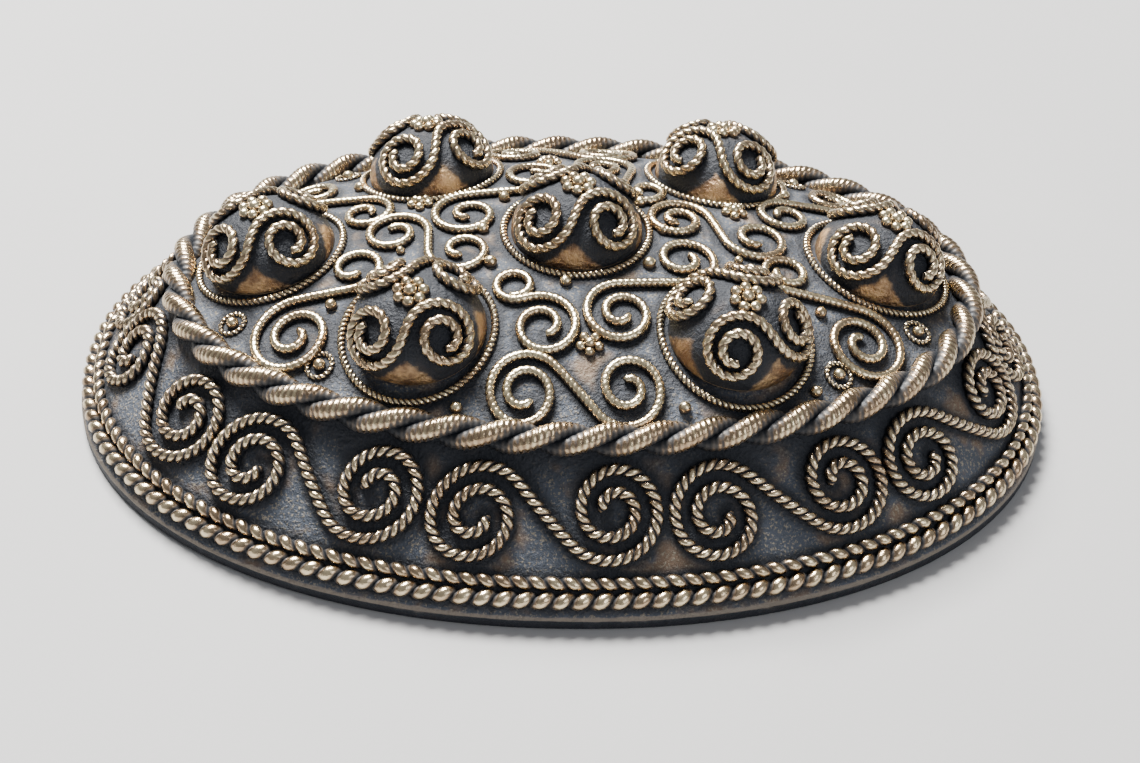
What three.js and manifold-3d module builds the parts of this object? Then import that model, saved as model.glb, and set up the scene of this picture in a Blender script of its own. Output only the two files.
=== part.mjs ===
// Domed oval fibula brooch: a hollow cast bronze shell covered with wire scrolls, seven bosses and
// twisted ropes, and a hinged pin inside the hollow.  Millimetres, +Z up, X along the long axis.
// The origin is the middle of the rim's flat underside.
import * as THREE from 'three';
import * as BufferGeometryUtils from 'three/addons/utils/BufferGeometryUtils.js';
import Module from 'manifold-3d';

// ---- driving sizes -------------------------------------------------------------------------
const LENGTH = 80;                  // over the rim, along X
const WIDTH = 56.6;                 // over the rim, along Y
const ROUNDNESS = 2.1;              // exponent of every oval: 2 is an ellipse
const EDGE = 1.0;                   // plain upright edge of the rim
const RIDGE = { a: 31.8, b: 19.6, z: 10.4, x: 0.6 };   // oval between flange and crown
const CROWN = { z: 15.7, power: 2.4 };                 // top of the crown, and how full it is
const WALL = 1.6;                   // thickness of the crown
const FOOT = 2.0;                   // width of the flat rim underside
const FLANGE = 12.6;                // slope length of the flange, rim to ridge
const BOSS = { radius: 5.2, height: 4.4, arc: 7.7, lean: 0.8 };
const HOLLOW_BOSS = { radius: 3.6, depth: 3.0 };       // hollow under the five middle bosses

// wires: half the width at the foot, height of the crest, both over the ground
const FLANGE_WIRE = { half: 0.5, crest: 0.72 };
const CROWN_WIRE = { half: 0.38, crest: 0.52 };
const BOSS_WIRE = { half: 0.42, crest: 0.8 };
const SINK = 0.5;                   // how far a wire's foot lies under the ground

// ropes: the two at the rim are plain beads here, the one on the ridge has its twist
const RIM_ROPES = [{ radius: 0.68, up: 1.38, high: 0.88 }, { radius: 0.52, up: 2.62, high: 0.75 }];
const RIDGE_ROPE = { radius: 0.98, lobe: 0.24, lobes: 44, stepsPerLobe: 3, rise: 0.5, foot: 1.15 };

// flange scrolls
const FLANGE_SCROLLS = 11;
const FLANGE_SCROLL = { gap: 10.2, radius: 3.9, up: 7.5, drop: 0.45, turns: 1, eye: 2.1, steps: 5 };
const FIRST_SCROLL = -2.1;          // place of the front scroll along the flange
const CROWDING = 1.2;               // how far the pitch drifts round the flange

// pin, hinge and catch
const HINGE = { x: -26, z: 3.3, hole: 0.9, rivet: 0.6 };
const LUG = { thick: 1.2, gap: 2.2, eye: 1.9, root: 4.6, outerTop: 10.6, innerTop: 12.2 };
const PIN = { eye: 1.8, thick: 1.6, shank: 0.75, tip: 0.15, length: 51, taper: 12 };
const CATCH = { x: 23.2, wide: 3, plate: 1, mouth: 1.6, back: 4.6, low: 1, lip: 0.9, curl: 2.4, top: 12.2 };
const CLEARANCE = 0.3;

const BOSS_SCROLL = { gap: 5.7, down: 2.85, radius: 2.65, turns: 0.8, eye: 1.4, steps: 4 };
const CROWN_SPIRAL = { turns: 0.8, eye: 1.1, steps: 4 };

// bosses: place on the plan, the bearing of the middle of one of their two scrolls, and its spin
const BOSSES = [
  { name: 'middle', x: 0.6, y: 0, bearing: -94, spin: 1 },
  { name: 'left', x: -23.7, y: 0, bearing: -93, spin: 1, solid: true },
  { name: 'right', x: 24.9, y: 0, bearing: -97.5, spin: 1, solid: true },
  { name: 'front_left', x: -11.4, y: -10.7, bearing: -98, spin: 1 },
  { name: 'front_right', x: 12.6, y: -10.7, bearing: -52, spin: -1 },
  { name: 'back_left', x: -11.4, y: 10.7, bearing: -74.5, spin: 1 },
  { name: 'back_right', x: 12.6, y: 10.7, bearing: -99, spin: -1 },
];

// crown scrolls: the two spirals' centres and outer radii; spin -1 leaves the first clockwise
const CROWN_SCROLLS = [
  { from: [-3.35, -16.15], r1: 3.0, to: [4.3, -15.7], r2: 2.95, spin: -1 },
  { from: [-2.0, -10.9], r1: 2.85, to: [-4.2, -7.0], r2: 1.5, spin: 1 },
  { from: [3.9, -9.6], r1: 2.95, to: [8.95, -3.5], r2: 2.7, spin: -1 },
  { from: [-20.85, -10.0], r1: 3.4, to: [-16.7, -3.95], r2: 2.35, spin: -1 },
  { from: [22.5, -9.75], r1: 3.35, to: [17.05, -3.85], r2: 2.0, spin: 1 },
  { from: [-13.8, -0.05], r1: 2.7, to: [-8.4, -2.75], r2: 2.6, spin: -1 },
  { from: [8.75, 1.8], r1: 2.7, to: [15.0, 0.1], r2: 2.7, spin: -1 },
  { from: [-8.05, 2.1], r1: 3.05, to: [-3.0, 8.7], r2: 2.8, spin: -1 },
  { from: [2.8, 10.9], r1: 2.7, to: [6.4, 6.1], r2: 2.0, spin: -1 },
  { from: [-16.4, 3.4], r1: 2.4, to: [-20.9, 8.6], r2: 2.2, spin: 1 },
  { from: [17.8, 4.3], r1: 2.4, to: [22.3, 9.4], r2: 2.4, spin: -1 },
  { from: [3.35, 16.15], r1: 3.0, to: [-4.3, 15.7], r2: 2.95, spin: -1 },
];
// granule clusters: on each boss's tip, and on the crown by their place on the plan
const CLUSTER = 1.1;
const CLUSTERS = [[1.5, -12.4], [-12.0, 4.4], [13.5, 4.0], [-25.9, -7.5], [27.3, -7.1]];

const CAST_BRONZE = { color: 0x8a7a62, roughness: 0.42, metalness: 1.0 };
const DRAWN_BRONZE = { color: 0x9a8258, roughness: 0.35, metalness: 1.0 };

const wasm = await Module();
wasm.setup();

// ---- the curved ground ---------------------------------------------------------------------
const vec = (x, y, z) => new THREE.Vector3(x, y, z);
const radians = THREE.MathUtils.degToRad;

/** A point of the unit oval at a given angle parameter. */
function oval(angle) {
  const bend = (value) => Math.sign(value) * Math.abs(value) ** (2 / ROUNDNESS);
  return [bend(Math.cos(angle)), bend(Math.sin(angle))];
}

/** Distance from the crown's middle as a share of the ridge oval: 0 at the top, 1 on the ridge. */
function share(x, y) {
  const across = Math.abs((x - RIDGE.x) / RIDGE.a) ** ROUNDNESS;
  return (across + Math.abs(y / RIDGE.b) ** ROUNDNESS) ** (1 / ROUNDNESS);
}

/** Unit normal of a ground function of two parameters, by central differences. */
function normalOf(ground, u, v) {
  const step = 0.01;
  const along = ground(u + step, v).sub(ground(u - step, v));
  const up = ground(u, v + step).sub(ground(u, v - step));
  return along.cross(up).normalize();
}

const crown = (x, y) => vec(x, y, RIDGE.z + (CROWN.z - RIDGE.z) * (1 - share(x, y) ** CROWN.power));

/** The flange's angle parameter at a distance along its middle, from the front centre to +X. */
const flangeAngle = (() => {
  const count = 1440;
  const marks = [0];
  const middle = (k) => {
    const [c, s] = oval(-Math.PI / 2 + (2 * Math.PI * k) / count);
    return new THREE.Vector2(c * (LENGTH / 2 + RIDGE.a) / 2, s * (WIDTH / 2 + RIDGE.b) / 2);
  };
  for (let k = 1; k <= count; k++) marks.push(marks[k - 1] + middle(k).distanceTo(middle(k - 1)));
  const total = marks[count];
  const at = (distance) => {
    const wanted = ((distance % total) + total) % total;
    const k = marks.findIndex((mark) => mark >= wanted) || 1;
    const part = (wanted - marks[k - 1]) / (marks[k] - marks[k - 1]);
    return -Math.PI / 2 + (2 * Math.PI * (k - 1 + part)) / count;
  };
  return { at, total };
})();

/** A point of the flange by its angle parameter and the distance up the slope. */
function flangeAt(angle, up) {
  const [c, s] = oval(angle);
  const rim = vec(c * LENGTH / 2, s * WIDTH / 2, EDGE);
  const ridge = vec(RIDGE.x + c * RIDGE.a, s * RIDGE.b, RIDGE.z);
  return rim.lerp(ridge, up / FLANGE);
}
const flange = (along, up) => flangeAt(flangeAngle.at(along), up);

/** The frame of a boss: its foot on the crown, its axis leaning out with the crown's slope. */
function bossFrame(boss) {
  const axis = normalOf(crown, boss.x, boss.y);
  axis.set(axis.x * BOSS.lean, axis.y * BOSS.lean, axis.z).normalize();
  const side = vec(1, 0, 0).addScaledVector(axis, -axis.x).normalize();
  return { foot: crown(boss.x, boss.y), axis, side, other: axis.clone().cross(side) };
}

/** Ground function of a boss by its cap laid flat: two distances from the tip along the arc. */
function bossGround(boss) {
  const { foot, axis, side, other } = bossFrame(boss);
  return (x, y) => {
    const away = Math.hypot(x, y);
    const bend = (away / BOSS.arc) * Math.PI / 2;
    const out = (BOSS.radius * Math.sin(bend)) / away;
    return foot.clone()
      .addScaledVector(side, out * x)
      .addScaledVector(other, out * y)
      .addScaledVector(axis, BOSS.height * Math.cos(bend));
  };
}

// ---- scroll paths --------------------------------------------------------------------------
/** One spiral from its outer radius in to its eye, as plan points; `start` is its first angle. */
function spiral([x, y], radius, { eye, turns, steps }, start, spin) {
  return Array.from({ length: steps + 1 }, (_, k) => {
    const angle = start + (spin * 2 * Math.PI * turns * k) / steps;
    const r = radius + ((eye - radius) * k) / steps;
    return [x + r * Math.cos(angle), y + r * Math.sin(angle)];
  });
}

/** An S scroll: out of one spiral, along their common inner tangent, and into the other. */
function scroll({ from, r1, to, r2, spin }, coil) {
  const [dx, dy] = [to[0] - from[0], to[1] - from[1]];
  const reach = Math.hypot(dx, dy);
  const cross = -spin * (r1 + r2);
  const straight = Math.sqrt(Math.max(reach ** 2 - cross ** 2, 0.01));
  const heading = Math.atan2(dy, dx) - Math.atan2(cross, straight);
  const leave = heading - (spin * Math.PI) / 2;
  const first = spiral(from, r1, coil, leave, -spin).reverse();
  const second = spiral(to, r2, coil, leave + Math.PI, -spin);
  return [...first, ...second];
}

// ---- solids --------------------------------------------------------------------------------
/** A closed three.js geometry as a manifold solid, with doubled points and flat faces dropped. */
function solid(geometry) {
  const bare = geometry.clone();
  for (const name of Object.keys(bare.attributes)) if (name !== 'position') bare.deleteAttribute(name);
  const merged = BufferGeometryUtils.mergeVertices(bare, 1e-5);
  const kept = [];
  for (let k = 0; k < merged.index.count; k += 3) {
    const [a, b, c] = [0, 1, 2].map((corner) => merged.index.getX(k + corner));
    if (a !== b && b !== c && c !== a) kept.push(a, b, c);
  }
  const vertProperties = new Float32Array(merged.attributes.position.array);
  const close = (corners) => new wasm.Manifold(
    new wasm.Mesh({ numProp: 3, vertProperties, triVerts: new Uint32Array(corners) }),
  );
  const body = close(kept);
  return body.volume() > 0 ? body : close(kept.reverse());
}

/** Moves every point of a geometry through a function of its old place. */
function reshape(geometry, place) {
  const points = geometry.attributes.position;
  for (let k = 0; k < points.count; k++) {
    const moved = place(points.getX(k), points.getY(k), points.getZ(k));
    points.setXYZ(k, moved.x, moved.y, moved.z);
  }
  return geometry;
}

/** Frames of a path over a ground function: point, normal and sideways direction at each step. */
function framesOver(ground, path) {
  const points = path.map(([u, v]) => ground(u, v));
  return points.map((point, k) => {
    const before = points[Math.max(k - 1, 0)];
    const after = points[Math.min(k + 1, points.length - 1)];
    const normal = normalOf(ground, ...path[k]);
    const side = after.clone().sub(before).normalize().cross(normal).normalize();
    return { point, normal, side };
  });
}

/** A wire of triangular section laid on the ground along an open path. */
function wire(ground, path, { half, crest }) {
  const frames = framesOver(ground, path);
  const steps = frames.length - 1;
  const foot = -0.5;
  const rise = (crest + SINK) / (1 - foot);
  const spread = (half * (crest + SINK)) / crest / Math.sin(Math.PI / 3 * 2);
  return solid(reshape(new THREE.CylinderGeometry(1, 1, 1, 3, steps), (x, y, z) => {
    const { point, normal, side } = frames[Math.round((y + 0.5) * steps)];
    return point.clone().addScaledVector(side, x * spread)
      .addScaledVector(normal, (z - foot) * rise - SINK);
  }));
}

/** The hollow shell without its scrolls: rings of points from the crown's top round to its inside. */
function plainShell() {
  const rim = (z, inward = 0) => (angle) => {
    const [c, s] = oval(angle);
    return vec(c * (LENGTH / 2 - inward), s * (WIDTH / 2 - inward), z);
  };
  const outside = (part) => (angle) => {
    const [c, s] = oval(angle);
    return crown(RIDGE.x + c * RIDGE.a * part, s * RIDGE.b * part);
  };
  const slope = (up, high = 0) => (angle) => flangeAt(angle, up)
    .addScaledVector(normalOf(flangeAt, angle, up), high);
  const corner = { in: 0.95, down: 1.35 };
  const inside = (part) => (angle) => {
    const [c, s] = oval(angle);
    const z = RIDGE.z - corner.down;
    const rise = (CROWN.z - WALL - z) * (1 - part ** CROWN.power);
    return vec(RIDGE.x + c * (RIDGE.a - corner.in) * part, s * (RIDGE.b - corner.in) * part, z + rise);
  };
  const { radius, lobe, lobes, stepsPerLobe, rise, foot } = RIDGE_ROPE;
  const segments = lobes * stepsPerLobe;
  const rope = (bearing) => (angle) => {
    const [c, s] = oval(angle);
    const out = vec(c * RIDGE.b, s * RIDGE.a, 0).normalize();
    const reach = radius + lobe * Math.cos(2 * bearing - lobes * angle);
    return vec(RIDGE.x + c * RIDGE.a, s * RIDGE.b, RIDGE.z + rise + reach * Math.sin(bearing))
      .addScaledVector(out, reach * Math.cos(bearing));
  };
  const [outer, inner] = RIM_ROPES;
  const rings = [
    [outside(0), 44], [outside(0.38), 12], [outside(0.7), 6], [outside(1 - foot / RIDGE.b), 6],
    [rope(radians(150)), 1], [rope(radians(90)), 1], [rope(radians(20)), 1],
    [slope(FLANGE - foot), 6], [slope(inner.up + inner.radius), 3], [slope(inner.up, inner.high), 3],
    [slope((inner.up + outer.up) / 2, 0.15), 3], [slope(outer.up, outer.high), 3],
    [slope(outer.up - outer.radius), 3], [rim(EDGE), 3], [rim(0), 3],
    [rim(0, FOOT), 3], [inside(1), 6], [inside(0.8), 6], [inside(0.5), 12], [inside(0), 44],
  ];
  const profile = rings.map((_, k) => new THREE.Vector2(1, k));
  const geometry = new THREE.LatheGeometry([...profile, profile[0]], segments);
  return solid(reshape(geometry, (x, y, z) => {
    const [place, coarse] = rings[Math.round(y)];
    const step = Math.round((Math.atan2(z, x) / (2 * Math.PI)) * segments);
    return place((2 * Math.PI * Math.round(step / coarse) * coarse) / segments);
  }));
}

/** One boss, a half egg standing on the crown and reaching a little into the wall. */
function bossBody(boss) {
  const { foot, axis, side, other } = bossFrame(boss);
  const egg = new THREE.SphereGeometry(1, 8, 4);
  return solid(reshape(egg, (x, y, z) => foot.clone()
    .addScaledVector(side, x * BOSS.radius)
    .addScaledVector(other, -z * BOSS.radius)
    .addScaledVector(axis, y > 0 ? y * BOSS.height : y * WALL * 0.6)));
}

/** The hollow left under a boss by its core. */
function bossHollow(boss) {
  const { foot, axis, side, other } = bossFrame(boss);
  const inside = foot.clone().addScaledVector(axis, -WALL);
  return solid(reshape(new THREE.SphereGeometry(1, 8, 4), (x, y, z) => inside.clone()
    .addScaledVector(side, x * HOLLOW_BOSS.radius)
    .addScaledVector(other, -z * HOLLOW_BOSS.radius)
    .addScaledVector(axis, y * HOLLOW_BOSS.depth)));
}

/** The two scrolls of a boss, on opposite sides of its tip. */
function bossScrolls(boss) {
  const ground = bossGround(boss);
  const { gap, down, radius } = BOSS_SCROLL;
  const ends = { from: [-gap / 2, -down], r1: radius, to: [gap / 2, -down], r2: radius, spin: boss.spin };
  const plan = scroll(ends, BOSS_SCROLL);
  return [0, 1].map((half) => {
    const turn = radians(boss.bearing + 90 + 180 * half);
    const [c, s] = [Math.cos(turn), Math.sin(turn)];
    return wire(ground, plan.map(([x, y]) => [x * c - y * s, x * s + y * c]), BOSS_WIRE);
  });
}

/** A cluster of granules as one low button. */
function cluster(point, normal) {
  const button = new THREE.SphereGeometry(CLUSTER, 5, 3);
  const turn = new THREE.Quaternion().setFromUnitVectors(vec(0, 1, 0), normal);
  button.applyQuaternion(turn).translate(point.x, point.y, point.z);
  return solid(button);
}

/** The hinge lugs: two cheeks hanging from the crown, with the rivet's hole through both. */
function lugs() {
  const outline = new THREE.Shape();
  outline.moveTo(-LUG.root / 2, LUG.outerTop - HINGE.z);
  outline.lineTo(-LUG.eye, 0);
  outline.absarc(0, 0, LUG.eye, Math.PI, 2 * Math.PI, false);
  outline.lineTo(LUG.root / 2, LUG.innerTop - HINGE.z);
  outline.closePath();
  outline.holes.push(new THREE.Path().absarc(0, 0, HINGE.hole, 0, 2 * Math.PI, true));
  return [-1, 1].map((hand) => {
    const cheek = new THREE.ExtrudeGeometry(outline, { depth: LUG.thick, bevelEnabled: false, curveSegments: 5 });
    cheek.rotateX(Math.PI / 2);
    const near = hand > 0 ? LUG.gap / 2 + LUG.thick : -LUG.gap / 2;
    return solid(cheek.translate(HINGE.x, near, HINGE.z));
  });
}

/** The catch: a plate hanging from the crown and bent under into an open hook. */
function catchHook() {
  const outline = new THREE.Shape();
  outline.moveTo(CATCH.back, CATCH.top);
  outline.lineTo(CATCH.back - CATCH.plate, CATCH.top);
  outline.lineTo(CATCH.back - CATCH.plate, CATCH.low + CATCH.lip + 0.5);
  outline.lineTo(CATCH.back - CATCH.plate - 0.5, CATCH.low + CATCH.lip);
  outline.lineTo(CATCH.mouth + 0.7, CATCH.low + CATCH.lip);
  outline.lineTo(CATCH.mouth + 0.7, CATCH.curl);
  outline.lineTo(CATCH.mouth, CATCH.curl);
  outline.lineTo(CATCH.mouth, CATCH.low + 0.4);
  outline.lineTo(CATCH.mouth + 0.4, CATCH.low);
  outline.lineTo(CATCH.back - 0.7, CATCH.low);
  outline.lineTo(CATCH.back, CATCH.low + 0.7);
  outline.closePath();
  const hook = new THREE.ExtrudeGeometry(outline, { depth: CATCH.wide, bevelEnabled: false });
  hook.rotateX(Math.PI / 2).rotateZ(Math.PI / 2);
  return solid(hook.translate(CATCH.x - CATCH.wide / 2, 0, 0));
}

/** The whole casting as one solid. */
function shell() {
  let body = plainShell();
  const join = (piece) => { body = body.add(piece); };
  for (const boss of BOSSES) join(bossBody(boss));
  for (const boss of BOSSES.filter((one) => !one.solid)) body = body.subtract(bossHollow(boss));
  for (const boss of BOSSES) {
    bossScrolls(boss).forEach(join);
    const { foot, axis } = bossFrame(boss);
    join(cluster(foot.addScaledVector(axis, BOSS.height - 0.4), axis));
  }
  for (const one of CROWN_SCROLLS) join(wire(crown, scroll(one, CROWN_SPIRAL), CROWN_WIRE));
  for (let k = 0; k < FLANGE_SCROLLS; k++) {
    const drift = CROWDING * Math.sin((2 * Math.PI * k) / FLANGE_SCROLLS);
    const middle = FIRST_SCROLL + (flangeAngle.total * k) / FLANGE_SCROLLS + drift;
    const { gap, radius, up, drop } = FLANGE_SCROLL;
    const ends = { from: [middle - gap / 2, up - drop], to: [middle + gap / 2, up + drop] };
    const plan = { ...ends, r1: radius, r2: radius, spin: -1 };
    join(wire(flange, scroll(plan, FLANGE_SCROLL), FLANGE_WIRE));
  }
  for (const [x, y] of CLUSTERS) join(cluster(crown(x, y), normalOf(crown, x, y)));
  lugs().forEach(join);
  join(catchHook());
  return body;
}

/** The pin: an eye that turns on the rivet and a shank that tapers to a point. */
function pin() {
  const eye = new THREE.Shape().absarc(0, 0, PIN.eye, 0, 2 * Math.PI, false);
  eye.holes.push(new THREE.Path().absarc(0, 0, HINGE.hole, 0, 2 * Math.PI, true));
  const loop = new THREE.ExtrudeGeometry(eye, { depth: PIN.thick, bevelEnabled: false, curveSegments: 6 });
  loop.rotateX(Math.PI / 2).translate(0, PIN.thick / 2, 0);
  const start = PIN.eye - 0.5;
  const profile = [
    new THREE.Vector2(0, start), new THREE.Vector2(PIN.shank, start),
    new THREE.Vector2(PIN.shank, PIN.length - PIN.taper), new THREE.Vector2(PIN.tip, PIN.length),
    new THREE.Vector2(0, PIN.length),
  ];
  const shank = new THREE.LatheGeometry(profile, 8).rotateZ(-Math.PI / 2);
  return solid(loop).add(solid(shank));
}

/** The hinge rivet, with a low head outside each lug. */
function rivet() {
  const reach = LUG.gap / 2 + LUG.thick + CLEARANCE;
  const head = { radius: 1.4, high: 0.7 };
  const profile = [
    [0, -reach - head.high], [head.radius * 0.7, -reach - head.high], [head.radius, -reach - head.high * 0.4],
    [head.radius, -reach], [HINGE.rivet, -reach], [HINGE.rivet, reach], [head.radius, reach],
    [head.radius, reach + head.high * 0.4], [head.radius * 0.7, reach + head.high], [0, reach + head.high],
  ].map(([r, y]) => new THREE.Vector2(r, y));
  return solid(new THREE.LatheGeometry(profile, 10));
}

/** A named mesh made from a solid. */
function piece(name, body, finish) {
  const { vertProperties, triVerts } = body.getMesh();
  const geometry = new THREE.BufferGeometry();
  geometry.setAttribute('position', new THREE.BufferAttribute(new Float32Array(vertProperties), 3));
  geometry.setIndex(new THREE.BufferAttribute(new Uint32Array(triVerts), 1));
  geometry.computeVertexNormals();
  const mesh = new THREE.Mesh(geometry, new THREE.MeshStandardMaterial(finish));
  mesh.name = name;
  return mesh;
}

// ---- the brooch ----------------------------------------------------------------------------
const brooch = new THREE.Group();
brooch.add(piece('shell', shell(), CAST_BRONZE));

const hinge = new THREE.Group();
hinge.position.set(HINGE.x, 0, HINGE.z);
hinge.add(piece('pin', pin(), DRAWN_BRONZE), piece('hinge_rivet', rivet(), DRAWN_BRONZE));
brooch.add(hinge);

export default brooch;
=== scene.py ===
"""A domed oval fibula brooch of patinated bronze, dressed round its cast frame.

The casting is a hollow shell with seven bosses.  Twisted wire scrolls, ropes and granules lie on
it, and a hinged pin lies inside the hollow.  Sizes are millimetres until a piece is finished.
"""

from __future__ import annotations

import logging
import math
from abc import ABC, abstractmethod
from dataclasses import dataclass, field
from enum import Enum

import bpy
import numpy as np
from mathutils import Matrix, Vector, kdtree


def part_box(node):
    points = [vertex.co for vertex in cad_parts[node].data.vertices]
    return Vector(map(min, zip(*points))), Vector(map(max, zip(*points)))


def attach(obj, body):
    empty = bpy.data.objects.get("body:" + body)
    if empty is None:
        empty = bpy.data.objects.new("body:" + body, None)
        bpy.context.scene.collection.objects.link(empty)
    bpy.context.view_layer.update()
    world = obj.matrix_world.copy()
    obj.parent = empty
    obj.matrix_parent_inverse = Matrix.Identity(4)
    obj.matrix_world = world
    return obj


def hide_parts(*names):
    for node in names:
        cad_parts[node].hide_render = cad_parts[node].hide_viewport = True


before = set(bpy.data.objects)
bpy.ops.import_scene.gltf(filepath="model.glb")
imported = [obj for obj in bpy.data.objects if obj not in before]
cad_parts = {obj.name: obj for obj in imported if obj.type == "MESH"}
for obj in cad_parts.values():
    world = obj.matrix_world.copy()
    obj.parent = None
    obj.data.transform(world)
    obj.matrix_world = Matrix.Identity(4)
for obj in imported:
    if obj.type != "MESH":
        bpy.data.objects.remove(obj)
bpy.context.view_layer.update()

log = logging.getLogger("brooch")

Array = np.ndarray
Piece = bpy.types.Object
Material = bpy.types.Material
Socket = bpy.types.NodeSocket
Triple = tuple[float, float, float]
Colour = Triple

MM = 0.001
TINY = 1e-9
TURN = 2 * math.pi
RIGHT_ANGLE = math.pi / 2
SHARP = math.radians(50)
ROUNDNESS = 2.1
CASTING = "casting"
PIN_BODY = "pin"


class Slot(Enum):
    """The material slot names that a piece is given; nothing in this script reads them."""

    PATINATED = "patinated_bronze"
    PLAIN = "plain_bronze"


# ---- arithmetic on rows of points ----


def unit(vectors: Array) -> Array:
    """Vectors scaled to length one."""
    return vectors / np.maximum(np.linalg.norm(vectors, axis=-1, keepdims=True), TINY)


def stacked(*columns: Array | float) -> Array:
    """Columns side by side, one row for each point; a number fills its whole column."""
    return np.stack(np.broadcast_arrays(*columns), axis=-1)


def travelled(points: Array) -> Array:
    """The distance along a row of points, up to each of them."""
    steps = np.linalg.norm(np.diff(points, axis=0), axis=-1)
    return np.concatenate([[0.0], np.cumsum(steps)])


def eased(value: Array, low: float, high: float) -> Array:
    """A smooth step from 0 at low to 1 at high."""
    part = np.clip((value - low) / (high - low), 0.0, 1.0)
    return part * part * (3 - 2 * part)


def circle(x: float, y: float, radius: float, count: int) -> Array:
    """A closed ring of plan points round a place."""
    turn = np.linspace(0, TURN, count)
    return stacked(x + radius * np.cos(turn), y + radius * np.sin(turn))


def oval(angle: Array) -> Array:
    """The outline that all the ovals share, a little squarer than an ellipse, for half axes of one."""
    way = np.stack([np.cos(angle), np.sin(angle)])
    return np.sign(way) * np.abs(way) ** (2 / ROUNDNESS)


# ---- the curved ground ----


class Ground(ABC):
    """A curved surface that wires and granules are laid on, by two parameters."""

    @abstractmethod
    def at(self, u: Array, v: Array) -> Array:
        """Finds points of the surface.

        Args:
            u: first parameters.
            v: second parameters.

        Returns:
            The points, one row each.
        """

    def normal(self, u: Array, v: Array) -> Array:
        """Works out unit normals by central differences.

        Args:
            u: first parameters.
            v: second parameters.

        Returns:
            One unit vector for each point.
        """
        step = 0.01
        along = self.at(u + step, v) - self.at(u - step, v)
        up = self.at(u, v + step) - self.at(u, v - step)
        return unit(np.cross(along, up))

    def above(self, u: float, v: float, height: float) -> Array:
        """One point that stands off the surface."""
        return self.at(u, v) + self.normal(u, v) * height


@dataclass(frozen=True)
class Crown(Ground):
    """The domed middle of the shell, inside the ridge, by its plan coordinates."""

    a: float = 31.8
    b: float = 19.6
    ridge: float = 10.4
    top: float = 15.7
    offset: float = 0.6
    power: float = 2.4

    def share(self, x: Array, y: Array) -> Array:
        """Distance from the middle: 0 at the top, 1 on the ridge."""
        across = np.abs((x - self.offset) / self.a) ** ROUNDNESS
        return (across + np.abs(y / self.b) ** ROUNDNESS) ** (1 / ROUNDNESS)

    def at(self, u: Array, v: Array) -> Array:
        """Points of the crown over plan points."""
        rise = (self.top - self.ridge) * (1 - self.share(u, v) ** self.power)
        return stacked(u, v, self.ridge + rise)


@dataclass
class Flange(Ground):
    """The sloping band between rim and ridge, by distance along its middle and up its slope."""

    crown: Crown = Crown()
    a: float = 40.0
    b: float = 28.3
    edge: float = 1.0
    slope: float = 12.6
    samples: int = 2881

    def __post_init__(self) -> None:
        """Measures the way along the middle of the band, from the front centre."""
        self.angles = np.linspace(-RIGHT_ANGLE, 3 * RIGHT_ANGLE, self.samples)
        c, s = oval(self.angles)
        self.marks = travelled(stacked(c * (self.a + self.crown.a) / 2, s * (self.b + self.crown.b) / 2))
        self.length = float(self.marks[-1])

    def by_angle(self, angle: Array, up: float | Array) -> Array:
        """Finds points of the band by the oval's angle parameter.

        Args:
            angle: angle parameters in radians.
            up: the distance up the slope from the rim.

        Returns:
            The points, one row each.
        """
        c, s = oval(angle)
        crown = self.crown
        rim = stacked(c * self.a, s * self.b, self.edge)
        ridge = stacked(crown.offset + c * crown.a, s * crown.b, crown.ridge)
        return rim + (ridge - rim) * np.expand_dims(np.asarray(up) / self.slope, -1)

    def at(self, u: Array, v: Array) -> Array:
        """Finds points of the band; the distance along it may run past a whole turn."""
        turns = np.floor(u / self.length)
        angle = np.interp(u - turns * self.length, self.marks, self.angles)
        return self.by_angle(angle + TURN * turns, v)


@dataclass(frozen=True)
class Seat:
    """A place on the ground with its own axes: two across it and one out of it."""

    foot: Array
    side: Array
    other: Array
    out: Array

    def place(self, points: Array) -> Array:
        """Points given by the seat's own axes, set in the brooch."""
        return self.foot + points @ np.stack([self.side, self.other, self.out])


@dataclass(frozen=True)
class Boss(Ground):
    """A domed boss on the crown, by its cap laid flat: two distances from the tip along the arc."""

    x: float
    y: float
    bearing: float
    spin: int = 1
    hollow: bool = True
    radius: float = 5.2
    height: float = 4.4
    arc: float = 7.7
    lean: float = 0.8
    crown: Crown = Crown()

    def seat(self) -> Seat:
        """Works out how the boss stands: its axis leans less than the crown's own normal.

        Returns:
            The middle of its foot, with its axes.
        """
        axis = unit(self.crown.normal(self.x, self.y) * (self.lean, self.lean, 1.0))
        side = unit((1.0, 0.0, 0.0) - axis * axis[0])
        return Seat(self.crown.at(self.x, self.y), side, np.cross(axis, side), axis)

    def at(self, u: Array, v: Array) -> Array:
        """Finds points of the dome."""
        away = np.maximum(np.hypot(u, v), TINY)
        bend = away / self.arc * RIGHT_ANGLE
        out = self.radius * np.sin(bend) / away
        return self.seat().place(stacked(out * u, out * v, self.height * np.cos(bend)))


CROWN = Crown()
FLANGE = Flange()
BOSSES = (
    Boss(0.6, 0.0, -94),  # middle
    Boss(-23.7, 0.0, -93, hollow=False),  # left
    Boss(24.9, 0.0, -97.5, hollow=False),  # right
    Boss(-11.4, -10.7, -96),  # front left
    Boss(12.6, -10.7, -58, spin=-1),  # front right
    Boss(-11.4, 10.7, -74.5),  # back left
    Boss(12.6, 10.7, -99, spin=-1),  # back right
)


# ---- bench work: small helpers over Blender's own tools ----


def choose(*pieces: Piece) -> Piece:
    """Selects these pieces alone.

    Args:
        pieces: what to select; the first is made active.

    Returns:
        The first.
    """
    bpy.ops.object.select_all(action="DESELECT")
    for piece in pieces:
        piece.select_set(True)
    bpy.context.view_layer.objects.active = pieces[0]
    return pieces[0]


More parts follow.
